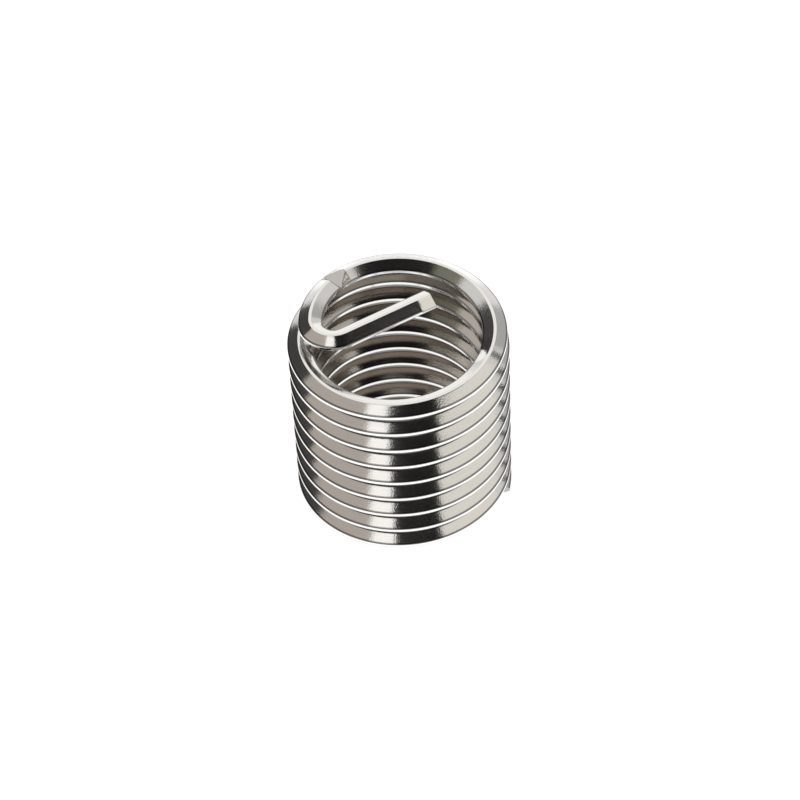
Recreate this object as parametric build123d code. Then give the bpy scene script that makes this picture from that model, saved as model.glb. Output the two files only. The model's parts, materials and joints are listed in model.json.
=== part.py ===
from build123d import *

import os
from dataclasses import dataclass
from math import ceil, cos, pi, radians, sin, tan

# Helical thread insert for an M16 x 2 thread, 24 mm long once it is screwed in.
#
# It is one stainless wire of diamond section, wound into a spring-like coil. The wire's outer
# half fills the oversize tapped hole, and its inner half is the new M16 thread. The last turn
# draws in from the full diameter, folds back across the bore as the driving tang, and has a
# notch a little before the fold, where the tang snaps off once the insert is in place.
#
# Millimetres and degrees. The coil's axis is Z, it winds right-handed going up, it stands on
# its first turn at Z = 0, and the tang is at the top.

# The free coil, before it is screwed in
OUTSIDE_DIAMETER = 19.2  # over the outer crests
COIL_PITCH = 2.08  # a little more than the thread's 2 mm
START_ANGLE = -13.7  # where the wire begins, measured from +X
BODY_SWEEP = 3193.7  # full-size coil, 8.87 turns
PIECES_A_TURN = 4  # the full-size coil is built in equal pieces, at least this many to a turn

# The wire's section. Its flanks are 60 degree threads inside and out.
FLANK_ANGLE = 30.0  # of each flank, from the plane square to the coil's axis
OUTER_CREST_WIDTH = 0.32
OUTER_FLANK_DEPTH = 0.93  # from the outer crest in to the waist
WAIST_LAND = 0.24  # flat across each corner of the waist
INNER_FLANK_DEPTH = 0.96  # from the waist in to the inner crest

# The last turn and the tang, as the route of the wire's waist in plan
DRAW_IN_RADIUS = 8.31  # first the turn draws in from the full-size coil
DRAW_IN_SWEEP = 164.0
NOTCHED_RADIUS = 7.62  # then it closes further, up to the fold
NOTCHED_SWEEP = 76.0
FOLD_RADIUS = 2.17
FOLD_SWEEP = 119.0
TANG_LENGTH = 8.4  # straight part of the tang
TURN_PER_PIECE = 41.0  # the last turn is built in pieces of at most this angle

# The snap-off notch: a ramp down from the coil's side, and a steep wall on the tang's side
NOTCH_FROM_FOLD = 43.0  # angle along the notched stretch, from the fold back to the root
NOTCH_DEPTH = 0.55  # below the top of the waist
NOTCH_RAMP = 1.6  # length of each side along the top of the waist
NOTCH_WALL = 0.35

# Values that follow
FLANK_SLOPE = tan(radians(FLANK_ANGLE))
OUTSIDE_RADIUS = OUTSIDE_DIAMETER / 2
WAIST_RADIUS = OUTSIDE_RADIUS - OUTER_FLANK_DEPTH
INNER_CREST_DEPTH = OUTER_FLANK_DEPTH + WAIST_LAND + INNER_FLANK_DEPTH
BORE_RADIUS = OUTSIDE_RADIUS - INNER_CREST_DEPTH
WAIST_WIDTH = OUTER_CREST_WIDTH + 2 * OUTER_FLANK_DEPTH * FLANK_SLOPE
INNER_CREST_WIDTH = WAIST_WIDTH - 2 * INNER_FLANK_DEPTH * FLANK_SLOPE
RISE = COIL_PITCH / (2 * pi)  # of the coil, for each radian

CREST_ALLOWANCE = 0.06  # the coil's blank stands proud of both crests before they are turned true
POINTS_A_PIECE = 5


def section(proud=0.0):
    """Corners of the wire's section as (depth in from the outer crest, height above the middle)."""
    upper = [
        (-proud, OUTER_CREST_WIDTH / 2 - proud * FLANK_SLOPE),
        (OUTER_FLANK_DEPTH, WAIST_WIDTH / 2),
        (OUTER_FLANK_DEPTH + WAIST_LAND, WAIST_WIDTH / 2),
        (INNER_CREST_DEPTH + proud, INNER_CREST_WIDTH / 2 - proud * FLANK_SLOPE),
    ]
    return upper + [(depth, -height) for depth, height in reversed(upper)]


@dataclass
class Bend:
    """A stretch of wire that turns about an upright line, with its waist at one radius.

    The wire climbs by rise for each radian, which eases to nothing at the end if it levels out.
    """

    centre: Vector
    waist_radius: float
    start: float
    sweep: float
    rise: float
    levels_out: bool = False

    def height(self, turned):
        eased = turned - turned**2 / (2 * self.sweep) if self.levels_out else turned
        return self.centre.Z + self.rise * eased

    def outward(self, turned):
        return Vector(cos(self.start + turned), sin(self.start + turned), 0)

    def point(self, turned, corner):
        depth, height = corner
        radius = self.waist_radius + OUTER_FLANK_DEPTH - depth
        foot = Vector(self.centre.X, self.centre.Y, self.height(turned) + height)
        return foot + self.outward(turned) * radius

    def heading(self, turned, corner):
        """How far a corner's point goes for each radian turned."""
        depth, _ = corner
        radius = self.waist_radius + OUTER_FLANK_DEPTH - depth
        along = self.outward(turned).rotate(Axis.Z, 90) * radius
        climb = self.rise * (1 - turned / self.sweep) if self.levels_out else self.rise
        return along + Vector(0, 0, climb)

    def edge(self, corner, start, end):
        """A corner's line, as a spline whose parameter runs from 0 to 1 with the angle turned."""
        sweep = end - start
        shares = [i / (POINTS_A_PIECE - 1) for i in range(POINTS_A_PIECE)]
        points = [self.point(start + sweep * share, corner) for share in shares]
        ends = [self.heading(start, corner) * sweep, self.heading(end, corner) * sweep]
        return Edge.make_spline(points, ends, parameters=shares, scale=False)

    def skin(self, corners, start, end):
        """The faces along one piece of the wire, one for each side of its section."""
        edges = [self.edge(corner, start, end) for corner in corners]
        sides = zip(edges, edges[1:] + edges[:1])
        return [Face.make_surface_from_curves(one, other) for one, other in sides]

    def cap(self, corners, turned):
        return Face(Wire.make_polygon([self.point(turned, corner) for corner in corners]))

    def next(self, waist_radius, sweep, rise, levels_out=False):
        """The bend that carries on from this one's end, in the same direction."""
        inward = self.waist_radius - waist_radius
        centre = Vector(self.centre.X, self.centre.Y, self.height(self.sweep))
        centre += self.outward(self.sweep) * inward
        start = self.start + self.sweep
        return Bend(centre, waist_radius, start, radians(sweep), rise, levels_out)


def coil_skin(coil):
    """Faces of the full-size coil, as one piece of wire repeated up the helix.

    The piece is drawn with both crests proud, then trimmed by the outer and the bore cylinder,
    so that every crest lies on a true cylinder.
    """
    count = ceil(coil.sweep / (2 * pi) * PIECES_A_TURN)
    step = coil.sweep / count
    corners = section(CREST_ALLOWANCE)
    blank = Solid(
        Shell(coil.skin(corners, 0, step) + [coil.cap(corners, 0), coil.cap(corners, step)])
    )
    reach = coil.rise * step + 3 * WAIST_WIDTH
    # The cylinders' own seams lie on the far side from the piece
    base = Plane(origin=(0, 0, coil.centre.Z - WAIST_WIDTH * 1.5), x_dir=-coil.outward(step / 2))
    sleeve = Solid.make_cylinder(OUTSIDE_RADIUS, reach, base)
    sleeve -= Solid.make_cylinder(BORE_RADIUS, reach, base)
    sides = without_ends(blank.intersect(sleeve)[0], coil, step)
    faces = []
    for i in range(count):
        place = Location((0, 0, coil.rise * step * i), (0, 0, step * i * 180 / pi))
        faces += [place * face for face in sides]
    return faces


def without_ends(piece, bend, sweep):
    """The faces of a piece of the bend that runs from its start, but not the two cut ends."""
    ends = [bend.outward(turned).rotate(Axis.Z, 90) for turned in (0, sweep)]
    return [face for face in piece.faces() if not any(is_square_to(face, end) for end in ends)]


def is_square_to(face, direction):
    return face.geom_type == GeomType.PLANE and abs(face.normal_at().dot(direction)) > 0.999


def tang_skin(fold):
    """Faces of the straight tang, which runs on level from the end of the fold."""
    root = [fold.point(fold.sweep, corner) for corner in section()]
    along = fold.outward(fold.sweep).rotate(Axis.Z, 90) * TANG_LENGTH
    tip = [corner + along for corner in root]
    faces = [Face(Wire.make_polygon(tip))]
    for i, corner in enumerate(root):
        faces.append(Face(Wire.make_polygon([root[i - 1], corner, tip[i], tip[i - 1]])))
    return faces


def bend_skin(bend):
    count = max(1, round(bend.sweep / radians(TURN_PER_PIECE)))
    step = bend.sweep / count
    faces = []
    for i in range(count):
        faces += bend.skin(section(), step * i, step * (i + 1))
    return faces


def notch(bend):
    """A V-shaped block whose edge lies across the wire, to be cut from its top.

    It stands as high above the top of the waist as it reaches below it.
    """
    turned = bend.sweep - radians(NOTCH_FROM_FOLD)
    outward = bend.outward(turned)
    along = outward.rotate(Axis.Z, 90)
    up = Vector(0, 0, NOTCH_DEPTH)
    inside = bend.point(turned, (2 * INNER_CREST_DEPTH, WAIST_WIDTH / 2))
    root = inside - up
    profile = Wire.make_polygon(
        [root, inside + up + along * 2 * NOTCH_WALL, inside + up - along * 2 * NOTCH_RAMP]
    )
    return Solid.extrude(Face(profile), outward * 3 * INNER_CREST_DEPTH)


def notched_skin(bend):
    """Faces of the stretch with the notch, which is cut while that stretch is a solid of its own."""
    caps = [bend.cap(section(), 0), bend.cap(section(), bend.sweep)]
    piece = Solid(Shell(bend_skin(bend) + caps)) - notch(bend)
    return without_ends(piece, bend, bend.sweep)


def thread_insert():
    foot = Vector(0, 0, WAIST_WIDTH / 2)
    coil = Bend(foot, WAIST_RADIUS, radians(START_ANGLE), radians(BODY_SWEEP), RISE)
    draw_in = coil.next(DRAW_IN_RADIUS, DRAW_IN_SWEEP, RISE)
    notched = draw_in.next(NOTCHED_RADIUS, NOTCHED_SWEEP, RISE)
    fold_rise = RISE * FOLD_RADIUS / NOTCHED_RADIUS
    fold = notched.next(FOLD_RADIUS, FOLD_SWEEP, fold_rise, levels_out=True)
    skin = [coil.cap(section(), 0)] + coil_skin(coil) + bend_skin(draw_in)
    skin += notched_skin(notched) + bend_skin(fold) + tang_skin(fold)
    return Solid(Shell(skin))


part = thread_insert()
part.label = "thread_insert"
os.makedirs("parts", exist_ok=True)
export_step(part, "parts/thread_insert.step")
print("valid", part.is_valid, "volume", round(part.volume, 2), "solids", len(part.solids()))
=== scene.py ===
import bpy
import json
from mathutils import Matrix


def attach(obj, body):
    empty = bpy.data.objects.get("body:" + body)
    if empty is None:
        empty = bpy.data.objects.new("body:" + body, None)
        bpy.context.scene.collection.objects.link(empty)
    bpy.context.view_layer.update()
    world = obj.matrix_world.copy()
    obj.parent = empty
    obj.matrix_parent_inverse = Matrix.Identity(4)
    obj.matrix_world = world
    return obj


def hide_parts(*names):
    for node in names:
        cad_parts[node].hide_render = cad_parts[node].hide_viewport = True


bl_info = {
    "name": "Helical thread insert",
    "version": (1, 0, 0),
    "blender": (4, 5, 0),
    "location": "View3D > Sidebar > Thread insert",
    "description": "Winds the wire of a helical thread insert and sets it on a small white studio floor",
    "category": "Add Mesh",
}

import json
from dataclasses import dataclass
from math import cos, pi, radians, sin, tan

import bpy
from mathutils import Matrix, Vector

# The thread insert is one wire of diamond section, wound into a right-handed coil that stands
# upright. Near the top the coil draws in, and its end folds back across the bore as the driving
# tang, which snaps off at a notch. Metres and radians, Z up, with the coil's axis on Z.

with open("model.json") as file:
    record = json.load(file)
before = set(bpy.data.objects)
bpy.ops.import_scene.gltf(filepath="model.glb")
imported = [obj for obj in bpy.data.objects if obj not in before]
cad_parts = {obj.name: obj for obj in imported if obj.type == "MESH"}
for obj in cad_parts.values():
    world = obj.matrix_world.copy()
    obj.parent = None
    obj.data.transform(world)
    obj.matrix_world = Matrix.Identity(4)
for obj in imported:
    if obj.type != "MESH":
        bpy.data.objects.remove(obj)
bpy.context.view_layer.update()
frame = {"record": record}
NODE = "thread_insert"
MM = 0.001
BLACK = (0, 0, 0, 1)
WHITE = (1, 1, 1, 1)
SHARP_EDGE = radians(40)  # two faces that meet at more than this keep a sharp edge
AIM_ASIDE = (-0.122 * MM, 0.165 * MM)  # the camera's aim is a little left of the axis, and above it

MOUNTS = {mount["name"]: mount["dims"] for mount in frame["record"]["mounts"]}
OUTSIDE_RADIUS = MOUNTS["tapped_hole_side"]["r_mm"] * MM
BORE_RADIUS = MOUNTS["bolt_side"]["r_mm"] * MM


def length(name, default, description):
    return bpy.props.FloatProperty(
        name=name, description=description, default=default, min=0, unit="LENGTH", precision=5
    )


def angle(name, default, description):
    return bpy.props.FloatProperty(
        name=name, description=description, default=radians(default), unit="ROTATION"
    )


def amount(name, default, description):
    return bpy.props.FloatProperty(name=name, description=description, default=default, min=0)


def colour(name, default, description):
    return bpy.props.FloatVectorProperty(
        name=name, description=description, default=(*default, 1), size=4, subtype="COLOR", min=0, max=1
    )


class WireSettings(bpy.types.PropertyGroup):
    """Sizes of the wire and of the coil it is wound into."""

    coil_pitch: length("Coil pitch", 2.08 * MM, "Climb of the coil in one turn")
    start_angle: angle("Start angle", -13.7, "Where the wire begins, measured from +X")
    body_sweep: angle("Body sweep", 3193.7, "How far the full-size coil turns")

    outer_crest: length("Outer crest", 0.32 * MM, "Width of the flat on the outer crest")
    outer_flank: length("Outer flank depth", 0.93 * MM, "From the outer crest in to the waist")
    waist_land: length("Waist land", 0.24 * MM, "Flat across each corner of the waist")
    flank_angle: angle("Flank angle", 30, "Each flank, from the plane square to the coil's axis")
    outer_corner: length("Outer corner radius", 0.09 * MM, "Rounding beside the outer crest")
    waist_corner: length("Waist corner radius", 0.10 * MM, "Rounding beside the waist land")
    inner_corner: length("Inner corner radius", 0.05 * MM, "Rounding beside the inner crest")

    draw_in_radius: length("Draw-in radius", 8.31 * MM, "Waist radius where the last turn closes")
    draw_in_sweep: angle("Draw-in sweep", 164, "How far that stretch turns")
    notched_radius: length("Notched radius", 7.62 * MM, "Waist radius of the notched stretch")
    notched_sweep: angle("Notched sweep", 76, "How far that stretch turns, up to the fold")
    fold_radius: length("Fold radius", 2.17 * MM, "Waist radius of the fold")
    fold_sweep: angle("Fold sweep", 119, "How far the wire folds back")
    tang_length: length("Tang length", 8.4 * MM, "Straight part of the driving tang")

    notch_from_fold: angle("Notch from fold", 43, "From the fold back to the notch's root")
    notch_depth: length("Notch depth", 0.55 * MM, "Below the top of the waist")
    notch_ramp: length("Notch ramp", 1.6 * MM, "Length of the gentle side, along the waist")
    notch_wall: length("Notch wall", 0.35 * MM, "Length of the steep side, along the waist")

    step: length("Step", 0.27 * MM, "Length of wire between two rings of the mesh")


class FinishSettings(bpy.types.PropertyGroup):
    """Colour and surface of the drawn stainless wire, with the shade and highlights painted on it."""

    flank_colour: colour("Flanks", (0.70, 0.68, 0.65), "Steel on the flanks")
    # Painted shade: the inner flanks that lie under a turn are darkened for the shade of the turn above
    bore_shade_colour: colour("Bore shade", (0.48, 0.435, 0.385), "Shaded steel on the flanks inside the bore")
    # Painted shade: a dark colour in the groove between turns and on the corners beside each crest, where
    # shade falls
    painted_shade_colour: colour("Painted shade", (0.19, 0.18, 0.17), "Dark film left in the groove between turns")
    painted_shade_width: length("Film width", 0.10 * MM, "How far it reaches beyond the waist land")
    corner_painted_shade: length("Corner film", 0.17 * MM, "How far in it reaches on the corners of a crest")
    tip_colour: colour("Tip", (0.76, 0.73, 0.64), "Dulled end of the tang")
    tip_length: length("Tip length", 1.45 * MM, "Part of the tang dulled by the shears")
    tip_dullness: amount("Tip dullness", 0.9, "How little of that part still shines like metal")
    # Partly burnished steel and partly a painted highlight: the crests are painted brighter than the flanks
    burnish_and_highlight_colour: colour("Crests", (0.95, 0.945, 0.93), "Burnished steel on the crests")
    cut_colour: colour("Cut faces", (0.53, 0.50, 0.475), "Steel where the wire was sheared or notched")
    roughness: amount("Roughness", 0.11, "Of the drawn surface")
    cut_roughness: amount("Cut roughness", 0.32, "Of the sheared and notched faces")
    mottle_size: length("Mottle size", 0.14 * MM, "Of the fine ripples in the drawn surface")
    mottle_height: length("Mottle height", 0.004 * MM, "Of the same ripples")
    cut_grain: length("Cut grain", 0.003 * MM, "Height of the grain on the sheared and notched faces")
    crown: angle("Crown", 8, "How much steeper the outer flanks are rolled than their chord")
    tang_crown: angle("Tang crown", 15, "How much flatter the tang's inner flank is than its chord")
    rim_crown: angle("Rim crown", 12, "The same for the inner flank where the last turn begins")
    front_crown: angle("Front crown", 4, "Added to that a little further on")
    streak_tone: amount("Streak tone", 0.17, "How much the streaks darken the flanks")
    streak_length: length("Streak length", 3.0 * MM, "Of the drawing marks along the wire")
    streak_width: length("Streak width", 0.05 * MM, "Of the same marks")


class StudioSettings(bpy.types.PropertyGroup):
    """The camera, the floor and the light."""

    elevation: angle("Camera elevation", 47.4, "Above the horizon")
    roll: angle("Camera roll", -2.92, "About the line of sight")
    distance: length("Camera distance", 285.1 * MM, "From the point it is aimed at")
    aim_height: length("Aim height", 10.625 * MM, "Of that point, on the coil's axis")
    focal_length: amount("Focal length", 145.75, "In millimetres, on a 36 mm wide sensor")
    floor_size: length("Floor size", 1.6, "Side of the floor")
    floor_colour: colour("Floor colour", (0.25, 0.25, 0.25), "Of the paper on the floor")
    floor_glow: amount("Floor glow", 0.88, "How much of the floor's white is its own, to the camera")
    sky: amount("Sky", 1.0, "Strength of the soft light from all round")


# ---------------------------------------------------------------- nodes


class Socket:
    """An output socket on which Python's operators add Math nodes."""

    def __init__(self, nodes, socket):
        self.nodes = nodes
        self.socket = socket

    def out(self, name):
        """Another output of the same node."""
        return Socket(self.nodes, self.socket.node.outputs[name])

    def __add__(self, other):
        return self.nodes.math("ADD", self, other)

    def __radd__(self, other):
        return self.nodes.math("ADD", other, self)

    def __sub__(self, other):
        return self.nodes.math("SUBTRACT", self, other)

    def __rsub__(self, other):
        return self.nodes.math("SUBTRACT", other, self)

    def __mul__(self, other):
        return self.nodes.math("MULTIPLY", self, other)

    def __rmul__(self, other):
        return self.nodes.math("MULTIPLY", other, self)

    def __truediv__(self, other):
        return self.nodes.math("DIVIDE", self, other)

    def __rtruediv__(self, other):
        return self.nodes.math("DIVIDE", other, self)

    def least(self, other):
        return self.nodes.math("MINIMUM", self, other)

    def most(self, other):
        return self.nodes.math("MAXIMUM", self, other)

    def sine(self):
        return self.nodes.math("SINE", self)

    def cosine(self):
        return self.nodes.math("COSINE", self)


class Nodes:
    """Adds nodes to one tree."""

    def __init__(self, tree):
        self.tree = tree

    def add(self, kind, settings=None, values=None):
        """Adds a node and gives its first output. A value may be another node's socket."""
        node = self.tree.nodes.new(kind)
        for name, setting in (settings or {}).items():
            setattr(node, name, setting)
        for name, value in (values or {}).items():
            if isinstance(value, Socket):
                self.tree.links.new(value.socket, node.inputs[name])
            else:
                node.inputs[name].default_value = value
        first = next((socket for socket in node.outputs if socket.enabled), None)
        return Socket(self, first) if first else node

    def math(self, operation, *values):
        return self.add("ShaderNodeMath", {"operation": operation}, dict(enumerate(values)))

    def vector(self, x, y, z):
        return self.add("ShaderNodeCombineXYZ", values={"X": x, "Y": y, "Z": z})

    def ramp(self, value, low, high):
        """Goes smoothly from 0 at low to 1 at high."""
        return self.add(
            "ShaderNodeMapRange",
            {"interpolation_type": "SMOOTHSTEP"},
            {"Value": value, "From Min": low, "From Max": high},
        )

    def mix(self, share, one, other):
        """A colour that goes from one to the other."""
        return self.add("ShaderNodeMix", {"data_type": "RGBA"}, {0: share, 6: one, 7: other})


# ---------------------------------------------------------------- the wire's section


def section(wire):
    """Corners of the wire's section, as x out from its middle and y up, going round anticlockwise."""
    depth = OUTSIDE_RADIUS - BORE_RADIUS
    slope = tan(wire.flank_angle)
    waist = wire.outer_crest / 2 + wire.outer_flank * slope
    inner_flank = depth - wire.outer_flank - wire.waist_land
    upper = [
        (0, wire.outer_crest / 2),
        (wire.outer_flank, waist),
        (wire.outer_flank + wire.waist_land, waist),
        (depth, waist - inner_flank * slope),
    ]
    upper = [Vector((depth / 2 - inward, height)) for inward, height in upper]
    return upper + [Vector((corner.x, -corner.y)) for corner in reversed(upper)]


def rounded(corners, radii, chords=3, hold=0.3):
    """The outline with each corner as an arc of its own radius.

    A point on each flat, a little before and after the arc, keeps the flat's shading flat.
    """
    outline = []
    for i, (corner, radius) in enumerate(zip(corners, radii)):
        arrive = (corner - corners[i - 1]).normalized()
        leave = (corners[(i + 1) % len(corners)] - corner).normalized()
        half_turn = arrive.angle(leave) / 2
        reach = radius * tan(half_turn)
        inward = (leave - arrive).normalized()
        centre = corner + inward * radius / cos(half_turn)
        outline.append(corner - arrive * (reach + hold * radius))
        for j in range(chords + 1):
            turned = half_turn * (1 - 2 * j / chords)
            across = (arrive + leave).normalized()
            outline.append(centre - (inward * cos(turned) + across * sin(turned)) * radius)
        outline.append(corner + leave * (reach + hold * radius))
    return outline


def closed_curve(name, outline):
    curve = bpy.data.curves.new(name, "CURVE")
    spline = curve.splines.new("POLY")
    spline.points.add(len(outline) - 1)
    for point, place in zip(spline.points, outline):
        point.co = (place.x, place.y, 0, 1)
    spline.use_cyclic_u = True
    return add_object(name, curve)


def prism(name, outline, reach):
    """A block whose outline is given in x and z, and which reaches as far to either side in y."""
    count = len(outline)
    near = [(x, -reach, z) for x, z in outline]
    far = [(x, reach, z) for x, z in outline]
    sides = [((i + 1) % count, i, i + count, (i + 1) % count + count) for i in range(count)]
    faces = sides + [tuple(range(count)), tuple(reversed(range(count, 2 * count)))]
    mesh = bpy.data.meshes.new(name)
    mesh.from_pydata(near + far, [], faces)
    return add_object(name, mesh)


def add_object(name, data):
    made = bpy.data.objects.new(name, data)
    bpy.context.scene.collection.objects.link(made)
    return made


# ---------------------------------------------------------------- winding the wire


@dataclass
class Bend:
    """A stretch of wire that turns about an upright line, by its names in the winding's inputs."""

    name: str
    radius: float
    sweep: float
    rise: float
    levels_out: bool = False

    @property
    def length(self):
        return self.radius * self.sweep


def bends(wire):
    """The wire's stretches in order, with the radius at the middle of the section."""
    to_middle = (OUTSIDE_RADIUS - BORE_RADIUS) / 2 - wire.outer_flank
    rise = wire.coil_pitch / (2 * pi)
    fold_rise = rise * wire.fold_radius / wire.notched_radius
    middle = (OUTSIDE_RADIUS + BORE_RADIUS) / 2
    return [
        Bend("Coil", middle, wire.body_sweep, rise),
        Bend("Draw-in", wire.draw_in_radius - to_middle, wire.draw_in_sweep, rise),
        Bend("Notched", wire.notched_radius - to_middle, wire.notched_sweep, rise),
        Bend("Fold", wire.fold_radius - to_middle, wire.fold_sweep, fold_rise, levels_out=True),
    ]


def route(nodes, inputs, stretches, along):
    """Where the section's middle is after that length of wire, and which way it heads in plan."""
    heading = inputs["Start Angle"]
    x = inputs["Coil Radius"] * heading.cosine()
    y = inputs["Coil Radius"] * heading.sine()
    z = inputs["Start Height"]
    turned_in_all = heading
    begin = 0
    for bend in stretches:
        radius = inputs[bend.name + " Radius"]
        sweep = inputs[bend.name + " Sweep"]
        rise = inputs[bend.name + " Rise"]
        turned = ((along - begin) / radius).most(0).least(sweep)
        now = heading + turned
        x = x + radius * (now.cosine() - heading.cosine())
        y = y + radius * (now.sine() - heading.sine())
        climbed = turned - turned * turned / (2 * sweep) if bend.levels_out else turned
        z = z + rise * climbed
        turned_in_all = turned_in_all + turned
        heading = heading + sweep
        begin = begin + radius * sweep
    straight = (along - begin).most(0)
    x = x - heading.sine() * straight
    y = y + heading.cosine() * straight
    return nodes.vector(x, y, z), turned_in_all + pi / 2


def middle_line(nodes, inputs, stretches):
    """The line through the middle of the wire, with the length from either end stored on it."""
    total = inputs["Tang Length"]
    for bend in stretches:
        total = total + inputs[bend.name + " Radius"] * inputs[bend.name + " Sweep"]
    line = nodes.add("GeometryNodeCurvePrimitiveLine", values={"End": nodes.vector(0, 0, total)})
    count = nodes.math("CEIL", total / inputs["Step"]) + 1
    line = nodes.add("GeometryNodeResampleCurve", values={"Curve": line, "Count": count})
    along = nodes.add("GeometryNodeSplineParameter").out("Length")
    line = store(nodes, line, "along", along)
    line = store(nodes, line, "to_tip", total - along)
    place, _ = route(nodes, inputs, stretches, along)
    line = nodes.add("GeometryNodeSetPosition", values={"Geometry": line, "Position": place})
    return nodes.add("GeometryNodeSetCurveNormal", {"mode": "Z_UP"}, {"Curve": line})


def sweep_section(nodes, section_object, line):
    """The section swept along the line, with each point's place in the section stored on it."""
    outline = nodes.add("GeometryNodeObjectInfo", values={"Object": section_object})
    outline = outline.out("Geometry")
    around = nodes.add("GeometryNodeSplineParameter").out("Length")
    outline = store(nodes, outline, "around", around)
    place = nodes.add("GeometryNodeInputPosition")
    outward = nodes.add("ShaderNodeSeparateXYZ", values={"Vector": place})
    outline = store(nodes, outline, "outward", outward)
    # The sweep turns the section's y downwards
    outline = store(nodes, outline, "upward", outward.out("Y") * -1)
    swept = nodes.add(
        "GeometryNodeCurveToMesh",
        values={"Curve": line, "Profile Curve": outline, "Fill Caps": True},
    )
    corners = nodes.add("GeometryNodeInputMeshFaceNeighbors")
    is_end = nodes.math("GREATER_THAN", corners, 4)
    return store(nodes, swept, "cut", is_end, "FACE")


def cut_notch(nodes, inputs, stretches, wire):
    """The wire less the notch's wedge, which is carried to its place on the route."""
    root, heading = route(nodes, inputs, stretches, inputs["Notch Along"])
    root = nodes.add(
        "ShaderNodeVectorMath",
        {"operation": "ADD"},
        {0: root, 1: nodes.vector(0, 0, inputs["Notch Height"])},
    )
    wedge = nodes.add("GeometryNodeObjectInfo", values={"Object": inputs["Notch"]})
    wedge = nodes.add(
        "GeometryNodeTransform",
        values={
            "Geometry": wedge.out("Geometry"),
            "Translation": root,
            "Rotation": nodes.vector(0, 0, heading),
        },
    )
    wedge = store(nodes, wedge, "cut", 1.0, "FACE")
    return nodes.add(
        "GeometryNodeMeshBoolean",
        {"operation": "DIFFERENCE", "solver": "EXACT"},
        {"Mesh 1": wire, "Mesh 2": wedge},
    )


def shade(nodes, wire):
    """The wire shaded smooth, but for its sharp edges and those of the notch."""
    smooth = nodes.add("GeometryNodeSetShadeSmooth", values={"Geometry": wire})
    turn = nodes.add("GeometryNodeInputMeshEdgeAngle")
    is_sharp = nodes.math("GREATER_THAN", turn, SHARP_EDGE)
    is_sharp = is_sharp.most(wire.out("Intersecting Edges"))
    return nodes.add(
        "GeometryNodeSetShadeSmooth",
        {"domain": "EDGE"},
        {"Geometry": smooth, "Selection": is_sharp, "Shade Smooth": False},
    )


def winding_tree(stretches):
    """The Geometry Nodes tree that winds the section along the route and cuts the notch."""
    tree = bpy.data.node_groups.new("wind_wire", "GeometryNodeTree")
    nodes = Nodes(tree)
    numbers = ["Start Angle", "Start Height", "Tang Length", "Step", "Notch Along", "Notch Height"]
    for bend in stretches:
        numbers += [bend.name + " Radius", bend.name + " Sweep", bend.name + " Rise"]
    sockets = [("Section", "Object"), ("Notch", "Object"), ("Material", "Material")]
    sockets += [(name, "Float") for name in numbers]
    for name, kind in sockets:
        tree.interface.new_socket(name, in_out="INPUT", socket_type="NodeSocket" + kind)
    tree.interface.new_socket("Wire", in_out="OUTPUT", socket_type="NodeSocketGeometry")
    group = nodes.add("NodeGroupInput")
    inputs = {name: group.out(name) for name, _ in sockets}

    line = middle_line(nodes, inputs, stretches)
    wire = sweep_section(nodes, inputs["Section"], line)
    wire = cut_notch(nodes, inputs, stretches, wire)
    wire = nodes.add("GeometryNodeRealizeInstances", values={"Geometry": shade(nodes, wire)})
    wire = nodes.add(
        "GeometryNodeSetMaterial", values={"Geometry": wire, "Material": inputs["Material"]}
    )
    nodes.add("NodeGroupOutput", values={"Wire": wire})
    return tree


def store(nodes, geometry, name, value, domain="POINT"):
    return nodes.add(
        "GeometryNodeStoreNamedAttribute",
        {"domain": domain},
        {"Geometry": geometry, "Name": name, "Value": value},
    )


def winding_numbers(wire, stretches, waist):
    """The winding tree's numbers, by the names of its inputs."""
    coil, draw_in, notched, _ = stretches
    to_notch = notched.radius * (notched.sweep - wire.notch_from_fold)
    numbers = {
        "Start Angle": wire.start_angle,
        "Start Height": waist,
        "Tang Length": wire.tang_length,
        "Step": wire.step,
        "Notch Along": coil.length + draw_in.length + to_notch,
        "Notch Height": waist - wire.notch_depth,
    }
    for bend in stretches:
        numbers[bend.name + " Radius"] = bend.radius
        numbers[bend.name + " Sweep"] = bend.sweep
        numbers[bend.name + " Rise"] = bend.rise
    return numbers


def grown_mesh(tree, values):
    """What the tree makes of those values, as a plain mesh."""
    holder = add_object("winding", bpy.data.meshes.new("winding"))
    modifier = holder.modifiers.new("wind", "NODES")
    modifier.node_group = tree
    for item in tree.interface.items_tree:
        if item.in_out == "INPUT":
            modifier[item.identifier] = values[item.name]
    evaluated = holder.evaluated_get(bpy.context.evaluated_depsgraph_get())
    mesh = bpy.data.meshes.new_from_object(evaluated)
    bpy.data.objects.remove(holder)
    return mesh


def wind(wire, material):
    """The finished wire, as a plain mesh object."""
    corners = section(wire)
    waist = corners[1].y
    radii = [wire.outer_corner, wire.waist_corner, wire.waist_corner, wire.inner_corner]
    outline = closed_curve("section", rounded(corners, radii + radii[::-1]))
    deep, ramp, wall = wire.notch_depth, wire.notch_ramp, wire.notch_wall
    wedge = prism("notch", [(0, 0), (2 * wall, 2 * deep), (-2 * ramp, 2 * deep)], corners[0].x * 3)
    stretches = bends(wire)
    values = {"Section": outline, "Notch": wedge, "Material": material}
    values.update(winding_numbers(wire, stretches, waist))
    mesh = grown_mesh(winding_tree(stretches), values)
    mesh.name = "wire"
    for helper in (outline, wedge):
        bpy.data.objects.remove(helper)
    return add_object("wire", mesh)


# ---------------------------------------------------------------- the steel


SOFT_EDGE = 0.05 * MM  # over which one finish gives way to the next
CORNER_FADE = 0.06 * MM  # the same for the painted shade on the corners of a crest
GROOVE_OPENS = 8 * MM  # before the last turn begins, where the groove opens and the painted shade in the groove and the bore ends
FOLD_CROWN = (0.5 * MM, -2.5 * MM)  # before the fold, between which the tang's crown sets in
RIM_LENGTH = 24 * MM  # of the last turn's own crown
RIM_EASE = 2 * MM  # over which it comes and goes
FRONT_CROWN = (4.5 * MM, 7.5 * MM)  # into the last turn, between which the front crown sets in


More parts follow.
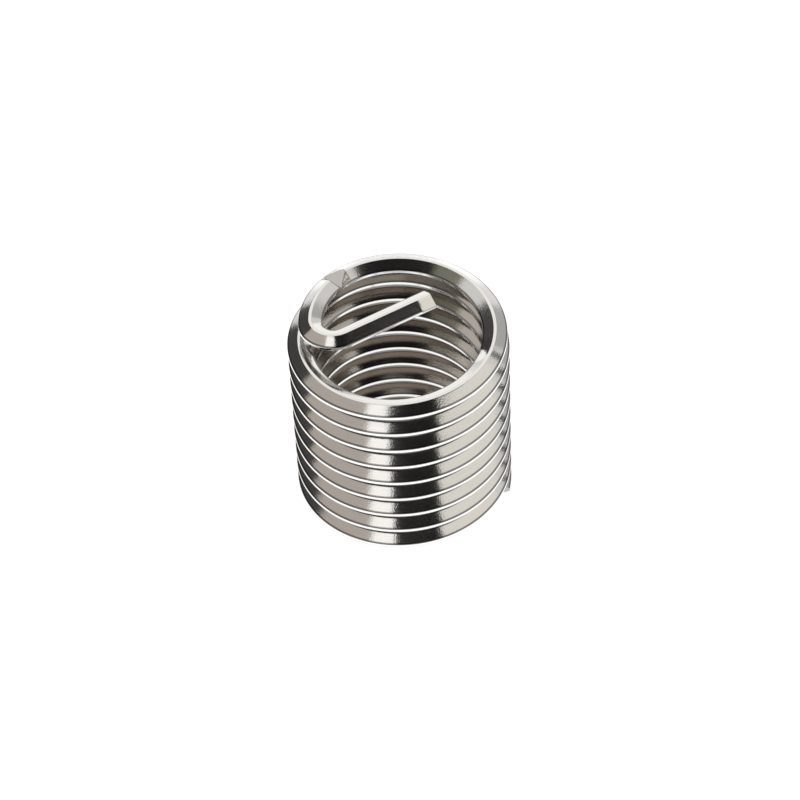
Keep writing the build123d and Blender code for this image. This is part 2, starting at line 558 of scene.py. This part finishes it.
class Surface:
    """Where a shaded point lies on the wire, and the finishes and painted shade it has there, as sockets.

    Along and to_tip are the wire's length from its start and to its end. Around, outward and
    upward are the place in the section: the length round its outline, and the distances from
    its middle. The finishes are from 0 to 1.
    """

    def __init__(self, nodes, finish, wire):
        self.nodes = nodes
        self.finish = finish
        self.wire = wire
        self.place = nodes.add("ShaderNodeTexCoord").out("Object")
        self.along = attribute(nodes, "along")
        self.around = attribute(nodes, "around")
        self.outward = attribute(nodes, "outward")
        self.upward = attribute(nodes, "upward")
        self.to_tip = attribute(nodes, "to_tip")
        self.sheared = attribute(nodes, "cut")

        self.half_depth = (OUTSIDE_RADIUS - BORE_RADIUS) / 2
        self.waist = self.half_depth - wire.outer_flank
        self.inner_waist = self.waist - wire.waist_land
        self.last_turn = last_turn_begins(wire)
        self.tip = self.dulled_tip()
        self.cut = self.sheared.most(self.tip)
        self.from_crest = self.half_depth - nodes.math("ABSOLUTE", self.outward)
        # The crests, burnished and painted brighter as a highlight
        self.crest = (1 - nodes.ramp(self.from_crest, 0, SOFT_EDGE)) * (1 - self.cut)
        self.under_a_turn = nodes.ramp(self.along, self.last_turn, self.last_turn - GROOVE_OPENS)
        # Painted shade on the inner flanks that lie under a turn
        bore_shade = nodes.ramp(self.outward, self.inner_waist, self.inner_waist - SOFT_EDGE)
        self.bore_shade = bore_shade * self.under_a_turn
        # Painted shade in the groove and beside each crest
        self.painted_shade = self.dark_painted_shade()
        self.streaks = self.drawing_marks()
        self.mottle = noise(nodes, self.place, 1 / finish.mottle_size, detail=2)
        self.grain = noise(nodes, self.place, 3 / finish.mottle_size, detail=3)

    def dulled_tip(self):
        """The upper outer flank at the end of the tang."""
        tip_length = self.finish.tip_length
        tip = self.nodes.ramp(self.to_tip, tip_length, tip_length * 0.75)
        tip = tip * self.nodes.ramp(self.outward, self.waist, self.waist + SOFT_EDGE)
        return tip * self.nodes.ramp(self.upward, 0, SOFT_EDGE)

    def dark_painted_shade(self):
        """Painted shade on the waist, in the groove between two turns, and on the corners beside each
        crest.
        """
        width = self.finish.painted_shade_width
        beside_land = (self.outward - self.waist).most(self.inner_waist - self.outward)
        groove = self.nodes.ramp(beside_land, width, width / 3) * self.under_a_turn
        half_crest = self.wire.outer_crest / 2
        off_middle = self.nodes.math("ABSOLUTE", self.upward)
        corner = self.nodes.ramp(off_middle, half_crest - SOFT_EDGE, half_crest)
        reach = self.finish.corner_painted_shade
        corner = corner * self.nodes.ramp(self.from_crest, reach, reach - CORNER_FADE)
        return groove.most(corner) * (1 - self.cut)

    def drawing_marks(self):
        across = self.around / self.finish.streak_width
        lengthways = self.along / self.finish.streak_length
        return noise(self.nodes, self.nodes.vector(lengthways, across, 0), 1, detail=1)

    def tone(self):
        nodes, finish = self.nodes, self.finish
        # Painted shade on the inner flanks under a turn
        tone = nodes.mix(self.bore_shade, finish.flank_colour, finish.bore_shade_colour)
        tone = nodes.mix((self.streaks + self.grain) * finish.streak_tone, tone, BLACK)
        # Burnished crests, painted brighter as a highlight
        tone = nodes.mix(self.crest, tone, finish.burnish_and_highlight_colour)
        # Painted shade in the groove and beside the crests
        tone = nodes.mix(self.painted_shade, tone, finish.painted_shade_colour)
        tone = nodes.mix(self.sheared, tone, finish.cut_colour)
        return nodes.mix(self.tip, tone, finish.tip_colour)

    def roughness(self):
        """The drawn surface's, 30 % more or less in the streaks, and the rougher cut faces'."""
        rough = self.finish.roughness * (0.7 + 0.6 * self.streaks)
        return rough + (self.finish.cut_roughness - self.finish.roughness) * self.cut

    def height(self):
        """The ripples' height, with the slopes that the flanks' crowns add to it."""
        ripples = (self.mottle - 0.5) * self.finish.mottle_height * (1 + 2 * self.cut)
        ripples = ripples + (self.grain - 0.5) * self.cut * self.finish.cut_grain
        outer = self.outward.most(self.waist) * (1 - self.cut) * tan(self.finish.crown)
        inner = (self.outward.least(self.inner_waist) - self.inner_waist) * self.inner_crowns()
        chord = cos(self.wire.flank_angle)
        return ripples - outer / chord - inner / chord

    def inner_crowns(self):
        """How much flatter the inner flank is rolled than its chord, as a slope."""
        nodes, finish, wire, start = self.nodes, self.finish, self.wire, self.last_turn
        fold = wire.tang_length + wire.fold_radius * wire.fold_sweep
        on_tang = nodes.ramp(self.to_tip, fold + FOLD_CROWN[0], fold + FOLD_CROWN[1])
        rim = nodes.ramp(self.along, start, start + RIM_EASE)
        rim = rim * nodes.ramp(self.along, start + RIM_LENGTH, start + RIM_LENGTH - RIM_EASE)
        front = rim * nodes.ramp(self.along, start + FRONT_CROWN[0], start + FRONT_CROWN[1])
        flatter = on_tang * tan(finish.tang_crown) + rim * tan(finish.rim_crown)
        return flatter + front * tan(finish.front_crown)


def steel(finish, wire):
    """Bright drawn stainless steel, burnished and painted brighter as a highlight on the crests, duller
    where it was cut, with painted shade in the groove, beside the crests and in the bore.
    """
    material, nodes = new_material("drawn_stainless")
    surface = Surface(nodes, finish, wire)
    bump = nodes.add(
        "ShaderNodeBump", values={"Strength": 1.0, "Distance": 1.0, "Height": surface.height()}
    )
    shader = nodes.add(
        "ShaderNodeBsdfPrincipled",
        values={
            "Base Color": surface.tone(),
            "Metallic": 1 - finish.tip_dullness * surface.tip,
            "Roughness": surface.roughness(),
            "Normal": bump,
        },
    )
    nodes.add("ShaderNodeOutputMaterial", values={"Surface": shader})
    return material


def new_material(name):
    """An empty material, and its nodes."""
    material = bpy.data.materials.new(name)
    material.use_nodes = True
    material.node_tree.nodes.clear()
    return material, Nodes(material.node_tree)


def last_turn_begins(wire):
    """How far along the wire its last turn begins, which has no turn above it."""
    rest_of_turn = 2 * pi - wire.draw_in_sweep - wire.notched_sweep
    return (OUTSIDE_RADIUS + BORE_RADIUS) / 2 * (wire.body_sweep - rest_of_turn)


def attribute(nodes, name):
    return nodes.add("ShaderNodeAttribute", {"attribute_name": name}).out("Fac")


def noise(nodes, place, scale, detail):
    return nodes.add(
        "ShaderNodeTexNoise", values={"Vector": place, "Scale": scale, "Detail": detail}
    ).out("Fac")


# ---------------------------------------------------------------- the studio


@dataclass
class Card:
    """A flat glowing panel of the light tent, which only the metal sees.

    Its shade is a colour or one number for a grey, where 1 is white. Its corners are in
    millimetres.
    """

    name: str
    shade: tuple | float
    corners: list


def level(name, shade, height, outline):
    """A card that lies level."""
    return Card(name, shade, [(x, y, height) for x, y in outline])


def across(name, shade, aside, outline):
    """A card that stands to one side, its outline in y and z."""
    return Card(name, shade, [(aside, y, z) for y, z in outline])


def facing(name, shade, behind, outline):
    """A card that stands in front or behind, its outline in x and z."""
    return Card(name, shade, [(x, behind, z) for x, z in outline])


# The tent, in millimetres
TOP = 95
LEFT = -110
RIGHT = 110
BACK = 150
FRONT = -120
WARM_GREY = (0.66, 0.61, 0.57)
OLIVE = (0.26, 0.26, 0.21)

# Edges that two cards of the tent's top share
WARM_TO_STRIP = [(-75, -90), (-62, -62), (-50, -55), (-46, -50), (-41, -44)]
STRIP_TO_FLAG = [(-28, -90), (-26, -73), (-23, -61), (-22, -57), (-6, -50), (-14, -35)]
OLIVE_TO_FLAG = [(-24, -8), (-20, 3)]
FLAG_TO_SOFTBOX = [(68, -18), (68, -30), (58, -38), (38, -54), (40, -62), (46, -72), (52, -90)]

CARDS = [
    # The top: a dark flag round the camera, a white strip and a warm reflector to its left, and a
    # softbox to its right
    level("camera_flag", 0.019, TOP, STRIP_TO_FLAG + OLIVE_TO_FLAG + [(38, 3), (54, -8)] + FLAG_TO_SOFTBOX),
    level("olive_flag", OLIVE, TOP, [(-19, -20)] + OLIVE_TO_FLAG + [(-40, 18), (-50, 4), (-38, -10)]),
    level("white_strip", 1.6, TOP, STRIP_TO_FLAG + WARM_TO_STRIP[::-1]),
    level(
        "warm_reflector",
        WARM_GREY,
        TOP,
        WARM_TO_STRIP + [(-52, -28), (-85, -5), (LEFT, 18), (LEFT, -90)],
    ),
    level(
        "right_softbox",
        (1.14, 1.12, 1.07),
        TOP,
        FLAG_TO_SOFTBOX + [(220, -90), (220, 20), (134, 20), (90, 6)],
    ),
    # The back
    level("back_softbox", 1.4, BACK, [(-90, 85), (90, 85), (90, 180), (-90, 180)]),
    facing("back_screen", 1.5, BACK - 1, [(-59, 22), (-59, 110), (60, 110), (60, 22)]),
    level("back_table", 1.5, 0.2, [(-60, 12), (-60, 90), (60, 90), (60, 12)]),
    facing("back_left_flag", 0.06, BACK, [(LEFT, 10), (LEFT, 100), (-60, 100), (-60, 10)]),
    # Inside the bore and below the tang, where they whiten the inner crests
    facing("bore_front", 1.0, -4.5, [(-4.5, 2.5), (-4.5, 8.5), (4.5, 8.5), (4.5, 2.5)]),
    across("bore_left", 1.0, -5, [(-4.5, 2.5), (-4.5, 8.5), (-0.5, 8.5), (-0.5, 2.5)]),
    across("bore_right", 1.0, 5, [(-4.5, 2.5), (-4.5, 10.5), (4.5, 10.5), (4.5, 2.5)]),
    facing("tang_front", 0.9, -4.6, [(-1, 14), (-1, 17), (5, 17), (5, 14)]),
    across("tang_side", 0.9, 5.2, [(-4.6, 14), (-4.6, 18.5), (1.5, 18.5), (1.5, 14)]),
    # The sides and the front
    across("warm_side", WARM_GREY, LEFT, [(-90, 60), (-90, TOP), (45, TOP), (27, 72), (18, 62)]),
    across(
        "left_flag",
        0.08,
        LEFT,
        [(-90, 1), (-90, 60), (18, 62), (27, 72), (62, 127), (BACK, 127), (BACK, 1)],
    ),
    across("right_pole", 0.02, RIGHT - 1, [(34, 44), (42, 44), (34, 76), (26, 76)]),
    across("right_back", 0.62, RIGHT, [(46, 20), (46, 110), (BACK, 110), (BACK, 20)]),
    across("right_belt", 0.04, RIGHT + 1, [(-90, 2), (-90, 40), (45, 40), (45, 2)]),
    facing("front_wall", 0.04, FRONT, [(LEFT, 2), (LEFT, 90), (RIGHT + 1, 90), (RIGHT + 1, 2)]),
]


def glow(nodes, shade):
    red, green, blue = shade if isinstance(shade, tuple) else (shade,) * 3
    strength = max(red, green, blue)
    colour = (red / strength, green / strength, blue / strength, 1)
    return nodes.add("ShaderNodeEmission", values={"Color": colour, "Strength": strength})


def seen_directly(nodes):
    """1 for what the camera sees, itself or in metal and glass, and 0 for what lights the scene."""
    path = nodes.add("ShaderNodeLightPath")
    seen = path.out("Is Camera Ray") + path.out("Is Glossy Ray") + path.out("Is Transmission Ray")
    return seen.least(1)


def add_flat(name, corners, material):
    mesh = bpy.data.meshes.new(name)
    mesh.from_pydata(corners, [], [tuple(range(len(corners)))])
    mesh.materials.append(material)
    made = add_object(name, mesh)
    return made


def add_card(card):
    material, nodes = new_material(card.name)
    nodes.add("ShaderNodeOutputMaterial", values={"Surface": glow(nodes, card.shade)})
    made = add_flat(card.name, [Vector(corner) * MM for corner in card.corners], material)
    made.visible_camera = False
    made.visible_shadow = False
    made.visible_diffuse = False


def add_floor(studio):
    """A white floor, which glows for the camera and the metal but doesn't light the scene."""
    material, nodes = new_material("white_floor")
    paper = nodes.add("ShaderNodeBsdfDiffuse", values={"Color": studio.floor_colour})
    white = nodes.add("ShaderNodeAddShader", values={0: paper, 1: glow(nodes, studio.floor_glow)})
    surface = nodes.add("ShaderNodeMixShader", values={0: seen_directly(nodes), 1: paper, 2: white})
    nodes.add("ShaderNodeOutputMaterial", values={"Surface": surface})
    half = studio.floor_size / 2
    corners = [(-half, -half, 0), (half, -half, 0), (half, half, 0), (-half, half, 0)]
    add_flat("floor", corners, material)


def add_sky(studio):
    """Soft light from all round, whose white doesn't change for the camera and the metal."""
    world = bpy.data.worlds.new("studio")
    bpy.context.scene.world = world
    world.use_nodes = True
    world.node_tree.nodes.clear()
    nodes = Nodes(world.node_tree)
    strength = studio.sky + (1 - studio.sky) * seen_directly(nodes)
    sky = nodes.add("ShaderNodeBackground", values={"Color": WHITE, "Strength": strength})
    nodes.add("ShaderNodeOutputWorld", values={"Surface": sky})


def add_camera(studio):
    data = bpy.data.cameras.new("camera")
    data.lens = studio.focal_length
    data.sensor_width = 36
    data.clip_start = 10 * MM
    camera = add_object("camera", data)
    back = Vector((0, -cos(studio.elevation), sin(studio.elevation)))
    sideways = Vector((1, 0, 0))
    right = sideways * cos(studio.roll) + back.cross(sideways) * sin(studio.roll)
    up = back.cross(right)
    aim = Vector((0, 0, studio.aim_height)) + right * AIM_ASIDE[0] + up * AIM_ASIDE[1]
    turn = Matrix((right, up, back)).transposed().to_4x4()
    camera.matrix_world = Matrix.Translation(aim + back * studio.distance) @ turn
    bpy.context.scene.camera = camera


# ---------------------------------------------------------------- operators and panel


class THREADINSERT_OT_wire(bpy.types.Operator):
    """Wind the wire of the thread insert, with its fold, tang and notch"""

    bl_idname = "thread_insert.wire"
    bl_label = "Wind the wire"

    def execute(self, context):
        wire = context.scene.insert_wire
        finish = context.scene.insert_finish
        piece = wind(wire, steel(finish, wire))
        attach(piece, "root")
        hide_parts(NODE)
        return {"FINISHED"}


class THREADINSERT_OT_studio(bpy.types.Operator):
    """Set up the floor, the light tent and the camera"""

    bl_idname = "thread_insert.studio"
    bl_label = "Set up the studio"

    def execute(self, context):
        studio = context.scene.insert_studio
        add_floor(studio)
        add_sky(studio)
        for card in CARDS:
            add_card(card)
        add_camera(studio)
        context.scene.view_settings.view_transform = "Standard"
        return {"FINISHED"}


class THREADINSERT_PT_panel(bpy.types.Panel):
    """The insert's sizes, finish and studio"""

    bl_idname = "THREADINSERT_PT_panel"
    bl_label = "Thread insert"
    bl_space_type = "VIEW_3D"
    bl_region_type = "UI"
    bl_category = "Thread insert"

    def draw(self, context):
        scene = context.scene
        self.layout.operator(THREADINSERT_OT_wire.bl_idname)
        self.layout.operator(THREADINSERT_OT_studio.bl_idname)
        for settings in (scene.insert_wire, scene.insert_finish, scene.insert_studio):
            box = self.layout.box()
            for name in settings.__annotations__:
                box.prop(settings, name)


SETTINGS = {
    "insert_wire": WireSettings,
    "insert_finish": FinishSettings,
    "insert_studio": StudioSettings,
}
CLASSES = [*SETTINGS.values(), THREADINSERT_OT_wire, THREADINSERT_OT_studio, THREADINSERT_PT_panel]


def register():
    for cls in CLASSES:
        bpy.utils.register_class(cls)
    for name, cls in SETTINGS.items():
        setattr(bpy.types.Scene, name, bpy.props.PointerProperty(type=cls))


def unregister():
    for name in SETTINGS:
        delattr(bpy.types.Scene, name)
    for cls in reversed(CLASSES):
        bpy.utils.unregister_class(cls)


def main():
    register()
    bpy.ops.thread_insert.studio()
    bpy.ops.thread_insert.wire()


if __name__ == "__main__":
    main()
